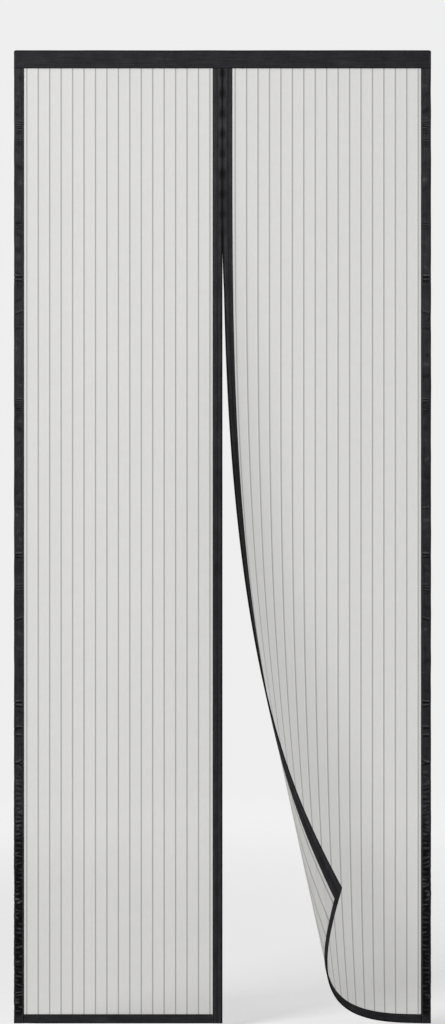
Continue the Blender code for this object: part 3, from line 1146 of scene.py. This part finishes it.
class SCREEN_OT_centre_bindings(bpy.types.Operator):
    """Makes the tapes on the free edges, with the pinched pockets that hold the magnets"""

    bl_idname = "insect_screen.centre_bindings"
    bl_label = "Centre Bindings"

    def execute(self, context):
        binding = context.scene.screen_binding
        material = material_named("binding_cloth", binding_material)
        pinches = steps(HEADER_EDGE_Z - PINCH_START, FOOT_Z, binding.pinch_pitch)
        for side in SIDES:
            fold = Fold(CENTRE_W, CENTRE_HALF, front_columns=18, back_columns=10, turn_columns=8)

            def pinch(across, z):
                nearest = min(abs(z - place) for place in pinches)
                closed = smooth((z - PINCH_LAST) / PINCH_FADE)
                return closed * math.exp(-(nearest / PINCH_LENGTH) ** 2) * (1 - smooth(across / PINCH_WIDTH))

            def place(column, z):
                across, out = fold.place(column)
                dent = pinch(across, z)
                pocket = 1 - smooth((across - binding.pocket) / POCKET_STEP)
                hem_half = SIDE_HALF - CLOTH_T / 2
                body = hem_half + (fold.half - hem_half) * pocket
                if across > fold.nose:
                    out = math.copysign(body, out)
                    if out < 0:
                        out -= CENTRE_CROWN * binding.crown * front_swell(fold, column, binding.hem)
                out *= 1 - binding.pinch_depth * dent
                held = seam_hold(z) if side == "right" else 0.0
                across -= SEAM_CLOSE + held * (1 - smooth(2 * across / CENTRE_W))
                return SEAM_X + across, NET_Y + out, z

            # Painted light and shade: highlight on the pocket's crest, shade in its seam and in the pinches,
            # and light towards the top
            def relief(column, z):
                across, out = fold.place(column)
                seam = math.exp(-((across - binding.pocket) / POCKET_SEAM) ** 2)
                crest = math.exp(-((across - 0.5 * binding.pocket) / POCKET_CREST) ** 2)
                dent = PINCH_SHADE * pinch(across, z) if out < 0 else 0.0
                return max(CREST_SHADE * crest - SEAM_SHADE * seam - dent + CENTRE_TOP_LIGHT * paler(z), -1.0)

            # Painted shade on the edges and fold, made lighter along the closed part of the seam
            def edge(column, z):
                mark = edge_shade_mark(fold, column, binding.hem)
                at_seam = smooth((column - SEAM_EDGE_FROM * fold.flat) / (SEAM_EDGE_RISE * fold.flat))
                return mark * (1 - SEAM_SOFT * at_seam * smooth((z - PINCH_LAST) / PINCH_FADE))

            marks = {EDGE_SHADE: edge, RELIEF_SHADE: relief}
            rows = steps(TUCK_Z, FOOT_Z, CENTRE_ROW)
            obj = grid_object(f"centre_binding_{side}", fold.columns, rows, place, marks)
            thicken(obj, CLOTH_T)
            hang(obj, side, material)
            fasten(obj, "binding_tape", f"centre_tape_{side}")
            fold.unfolded()
        return {"FINISHED"}


BOTTOM_CROWN = 0.6


class SCREEN_OT_bottom_bindings(bpy.types.Operator):
    """Makes the tapes folded round the foot of each panel"""

    bl_idname = "insect_screen.bottom_bindings"
    bl_label = "Bottom Bindings"

    def execute(self, context):
        binding = context.scene.screen_binding
        material = material_named("binding_cloth", binding_material)
        for side in SIDES:
            fold = Fold(BOTTOM_HI.z - BOTTOM_LO.z, BOTTOM_HALF, front_columns=12)

            def place(column, x):
                across, out = fold.place(column)
                out -= BOTTOM_CROWN * binding.crown * front_swell(fold, column, binding.hem)
                return x, NET_Y + out, FOOT_Z + across

            marks = {EDGE_SHADE: lambda column, x: edge_shade_mark(fold, column, binding.hem)}
            rows = steps(NET_END_X, NET_START_X, TAPE_ROW)
            obj = grid_object(f"bottom_binding_{side}", fold.columns, rows, place, marks)
            thicken(obj, CLOTH_T)
            hang(obj, side, material)
            fasten(obj, "binding_tape", f"bottom_tape_{side}")
            fold.unfolded()
        return {"FINISHED"}


# Stitching
def row_object(name, rows):
    """Straight runs of stitches, each as an edge of a mesh from one end to the other."""
    bm = bmesh.new()
    for start, end in rows:
        bm.edges.new((bm.verts.new(start), bm.verts.new(end)))
    return new_object(name, bm)


def both_faces(x_start, x_end, z_start, z_end, half):
    """The same run of stitches on a binding's front and on its back."""
    return [((x_start, NET_Y + y, z_start), (x_end, NET_Y + y, z_end)) for y in (-half, half)]


class SCREEN_OT_stitching(bpy.types.Operator):
    """Sews the rows of stitches that hold the bindings"""

    bl_idname = "insect_screen.stitching"
    bl_label = "Stitching"

    def execute(self, context):
        hem = context.scene.screen_binding.hem
        end_x = JAMB_X - hem
        header = both_faces(-end_x, end_x, HEADER_LO.z + hem, HEADER_LO.z + hem, HEADER_HALF)
        for x in (-end_x, end_x):
            header += both_faces(x, x, HEADER_HI.z - hem, HEADER_LO.z + hem, HEADER_HALF)
        self.sew("header_stitches", header, "")

        side_x = JAMB_X - SIDE_W + hem
        side = both_faces(side_x, side_x, HEADER_EDGE_Z, FOOT_Z + hem, SIDE_HALF)
        for z in (FOOT_Z + hem, BOTTOM_TAPE_Z - hem):
            side += both_faces(side_x, end_x, z, z, SIDE_HALF)
        centre_x = SEAM_X + CENTRE_W - hem
        centre = both_faces(centre_x, centre_x, HEADER_EDGE_Z, FOOT_Z + hem, SIDE_HALF)
        centre += both_faces(centre_x, SEAM_X + hem, FOOT_Z + hem, FOOT_Z + hem, SIDE_HALF)
        bottom_z = BOTTOM_TAPE_Z - hem
        bottom = both_faces(NET_START_X, NET_END_X, bottom_z, bottom_z, BOTTOM_HALF)
        for name in SIDES:
            self.sew(f"side_stitches_{name}", side, "left" if name == "left" else "")
            self.sew(f"centre_stitches_{name}", centre, name)
            self.sew(f"bottom_stitches_{name}", bottom, name)
        return {"FINISHED"}

    def sew(self, name, rows, side):
        stitch = bpy.context.scene.screen_stitch
        obj = row_object(name, rows)
        add_modifier(obj, shared_group("Stitch Rows", stitch_group), pitch=stitch.pitch,
                     length=stitch.length, thread=stitch.thread, seed=len(name))
        hang(obj, side, material_named("sewing_thread", thread_material), sharp=180)
        fasten(obj, "binding_tape")


# Hook and loop tapes, and the magnets
TAPE_MARGIN = 0.002
TAPE_MARGIN_DROP = 0.0004
TAPE_BEVEL = 1.4
STRIP_ROW = 0.02
STRIP_WAVE = 0.0003
STRIP_WAVES = (40, 200)
# Finish of the loops and the hooks: colour, roughness, and the pitch and depth of their bumps
LOOP_FINISH = ((0.015, 0.015, 0.016), 0.85, 0.0012, 0.0003)
HOOK_FINISH = ((0.02, 0.02, 0.02), 0.5, 0.0016, 0.0002)


def tape_strip(name, node, along, worked_face):
    """A woven strip with thinner edges beside its pile or hooks, in the space of its CAD node."""
    low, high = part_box(node)
    other = "x" if along == "z" else "z"
    start, end = getattr(low, along), getattr(high, along)
    near, far = getattr(low, other), getattr(high, other)
    worked, plain = (high.y, low.y) if worked_face > 0 else (low.y, high.y)
    drop = TAPE_MARGIN_DROP * worked_face
    section = [
        (near, plain), (far, plain), (far, worked - drop), (far - TAPE_MARGIN, worked - drop),
        (far - TAPE_BEVEL * TAPE_MARGIN, worked), (near + TAPE_BEVEL * TAPE_MARGIN, worked),
        (near + TAPE_MARGIN, worked - drop), (near, worked - drop),
    ]
    bm = bmesh.new()
    rings = []
    for station in steps(start, end, STRIP_ROW):
        ring = []
        for sideways, y in section:
            at_edge = min(abs(sideways - near), abs(sideways - far)) < TAPE_MARGIN / 2
            ripple = unevenness(station * STRIP_WAVES[0], sideways * STRIP_WAVES[1], 0.5)
            wave = STRIP_WAVE * ripple if at_edge else 0.0
            point = (station, y, sideways + wave) if along == "x" else (sideways + wave, y, station)
            ring.append(bm.verts.new(point))
        rings.append(ring)
    for first, second in zip(rings[:-1], rings[1:]):
        for index in range(len(section)):
            after = (index + 1) % len(section)
            bm.faces.new((first[index], first[after], second[after], second[index]))
    bm.faces.new(rings[0])
    bm.faces.new(rings[-1])
    bmesh.ops.recalc_face_normals(bm, faces=bm.faces)
    return new_object(name, bm)


class SCREEN_OT_fixing_tapes(bpy.types.Operator):
    """Makes the hook tapes on the door frame and the loop tapes sewn behind the bindings"""

    bl_idname = "insect_screen.fixing_tapes"
    bl_label = "Fixing Tapes"

    def execute(self, context):
        loop = pile_material("loop_pile", *LOOP_FINISH)
        hook = pile_material("moulded_hooks", *HOOK_FINISH)
        for place, along in (("header", "x"), ("side_left", "z"), ("side_right", "z")):
            start, _, side = place.partition("_")
            tail = f"_{side}" if side else ""
            hooks = f"{start}_hook_tape{tail}"
            loops = tape_strip(f"{start}_loop_tape{tail}", f"{start}_loop_strip{tail}", along, 1)
            self.lay(loops, f"{start}_loop_strip{tail}", loop, "loop_strip", [hooks])
            hooked = tape_strip(hooks, f"{start}_hook_strip{tail}", along, -1)
            self.lay(hooked, f"{start}_hook_strip{tail}", hook, "hook_strip", [])
        return {"FINISHED"}

    def lay(self, obj, node, material, slot, rests_on):
        hang(obj, "", material, sharp=40)
        fasten(obj, slot, node)


class SCREEN_OT_magnets(bpy.types.Operator):
    """Gives the hidden magnets their ferrite finish"""

    bl_idname = "insect_screen.magnets"
    bl_label = "Magnets"

    def execute(self, context):
        material = material_named("ferrite", magnet_material)
        for name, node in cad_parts.items():
            if name.startswith("magnet_"):
                node.data.materials.clear()
                node.data.materials.append(material)
        return {"FINISHED"}


# Stage
CAMERA_DISTANCE = 8.0
PIXEL = 0.900 / 417.0
PHOTO_LEFT = 14.0
PHOTO_TOP = 50.3
SENSOR = 36.0
# Each lamp's place and size
LAMPS = {
    "key": ((-2.2, -2.6, 0.7), 1.4),
    "fill": ((2.8, -2.6, -0.6), 2.0),
    "back": ((1.2, 2.8, 1.6), 1.6),
}
FLOOR_SIDES = 96
FLOOR_FADE_FROM = 0.25


class SCREEN_OT_stage(bpy.types.Operator):
    """Sets the pale floor and world, the soft lights and the camera"""

    bl_idname = "insect_screen.stage"
    bl_label = "Stage"

    def execute(self, context):
        stage = context.scene.screen_stage
        middle_z = HEADER_HI.z - (IMAGE_H / 2 - PHOTO_TOP) * PIXEL
        middle_x = (IMAGE_W / 2 - PHOTO_LEFT) * PIXEL - JAMB_X
        middle = Vector((middle_x, 0.0, middle_z))
        self.floor(stage)
        self.world(context.scene, stage)
        for name, (place, size) in LAMPS.items():
            self.lamp(f"{name}_light", Vector(place), middle, size, getattr(stage, name))
        camera = bpy.data.cameras.new("camera")
        camera.sensor_fit = "VERTICAL"
        camera.sensor_height = SENSOR
        camera.sensor_width = SENSOR
        camera.lens = camera.sensor_height * CAMERA_DISTANCE / (IMAGE_H * PIXEL)
        camera.sensor_fit = "AUTO"
        seat = bpy.data.objects.new("camera", camera)
        seat.location = middle + Vector((0.0, NET_Y - CAMERA_DISTANCE, 0.0))
        seat.rotation_euler = (math.pi / 2, 0.0, 0.0)
        context.scene.collection.objects.link(seat)
        context.scene.camera = seat
        context.scene.view_settings.view_transform = "Standard"
        return {"FINISHED"}

    def floor(self, stage):
        """A pale floor that fades out all round, and is clear from below."""
        bm = bmesh.new()
        bmesh.ops.create_circle(bm, cap_ends=True, segments=FLOOR_SIDES, radius=stage.radius)
        for vert in bm.verts:
            vert.co.z = FOOT_Z - stage.floor_gap
        obj = new_object("floor", bm)
        obj.visible_shadow = False
        obj.data.materials.append(floor_material(stage))

    def world(self, scene, stage):
        """Even light from all round, which the camera sees as a pale backdrop."""
        world = bpy.data.worlds.new("studio")
        world.use_nodes = True
        tree = world.node_tree
        background = tree.nodes["Background"]
        background.inputs["Color"].default_value = opaque(stage.colour)
        seen = camera_ray(tree)
        feed(tree, background.inputs["Strength"], seen * (1.0 - stage.world) + stage.world)
        scene.world = world

    def lamp(self, name, place, target, size, power):
        data = bpy.data.lights.new(name, "AREA")
        data.shape = "SQUARE"
        data.size = size
        data.energy = power
        obj = bpy.data.objects.new(name, data)
        obj.location = place
        obj.visible_camera = False
        obj.rotation_euler = (target - place).to_track_quat("-Z", "Y").to_euler()
        bpy.context.scene.collection.objects.link(obj)


def camera_ray(tree):
    """1 where the camera looks straight at it, otherwise 0."""
    return Number(tree, add_node(tree, "ShaderNodeLightPath").outputs["Is Camera Ray"])


def floor_material(stage):
    """Matt pale paint, lifted a little for the camera, that thins out towards the rim."""
    material, tree, shader = new_material("floor_paint", roughness=0.95, specular=0.1)
    shader.inputs["Base Color"].default_value = opaque(stage.colour)
    shader.inputs["Emission Color"].default_value = opaque(stage.colour)
    place = add_node(tree, "ShaderNodeTexCoord").outputs["Object"]
    length = add_node(tree, "ShaderNodeVectorMath", {0: place}, operation="LENGTH")
    radius = Number(tree, length.outputs["Value"])
    depth = FOOT_Z - stage.floor_gap
    lift = radius * radius * stage.far_lift + (stage.lift - stage.far_lift * depth ** 2)
    feed(tree, shader.inputs["Emission Strength"], camera_ray(tree) * lift)
    fade = ramp(tree, radius, math.hypot(FLOOR_FADE_FROM * stage.radius, FOOT_Z),
                math.hypot(stage.radius, depth), 0.0, 1.0, interpolation_type="SMOOTHSTEP")
    backfacing = add_node(tree, "ShaderNodeNewGeometry").outputs["Backfacing"]
    clear = add_node(tree, "ShaderNodeBsdfTransparent")
    blend = add_node(tree, "ShaderNodeMixShader", {
        0: fade.math("MAXIMUM", backfacing),
        1: shader.outputs[0],
        2: clear.outputs[0],
    })
    tree.links.new(blend.outputs[0], tree.nodes["Material Output"].inputs["Surface"])
    return material


# Panel and registration
class VIEW3D_PT_insect_screen(bpy.types.Panel):
    """Lists the screen's pieces and their sizes"""

    bl_idname = "VIEW3D_PT_insect_screen"
    bl_label = "Insect Screen"
    bl_space_type = "VIEW_3D"
    bl_region_type = "UI"
    bl_category = "Insect Screen"

    def draw(self, context):
        for operator in OPERATORS:
            self.layout.operator(operator.bl_idname)
        for name, group in SETTINGS.items():
            box = self.layout.box()
            box.label(text=group.__name__.replace("Settings", ""))
            for key in group.__annotations__:
                box.prop(getattr(context.scene, name), key)


OPERATORS = (
    SCREEN_OT_fixing_tapes,
    SCREEN_OT_stitching,
    SCREEN_OT_header_binding,
    SCREEN_OT_side_bindings,
    SCREEN_OT_nets,
    SCREEN_OT_centre_bindings,
    SCREEN_OT_bottom_bindings,
    SCREEN_OT_magnets,
    SCREEN_OT_stage,
)


def register():
    for group in SETTINGS.values():
        bpy.utils.register_class(group)
    for name, group in SETTINGS.items():
        setattr(bpy.types.Scene, name, bpy.props.PointerProperty(type=group))
    for operator in OPERATORS:
        bpy.utils.register_class(operator)
    bpy.utils.register_class(VIEW3D_PT_insect_screen)


def unregister():
    bpy.utils.unregister_class(VIEW3D_PT_insect_screen)
    for operator in reversed(OPERATORS):
        bpy.utils.unregister_class(operator)
    for name, group in SETTINGS.items():
        delattr(bpy.types.Scene, name)
        bpy.utils.unregister_class(group)


def main():
    register()
    bpy.ops.insect_screen.fixing_tapes()
    bpy.ops.insect_screen.stitching()
    bpy.ops.insect_screen.header_binding()
    bpy.ops.insect_screen.side_bindings()
    bpy.ops.insect_screen.nets()
    bpy.ops.insect_screen.centre_bindings()
    bpy.ops.insect_screen.bottom_bindings()
    bpy.ops.insect_screen.magnets()
    bpy.ops.insect_screen.stage()


if __name__ == "__main__":
    main()
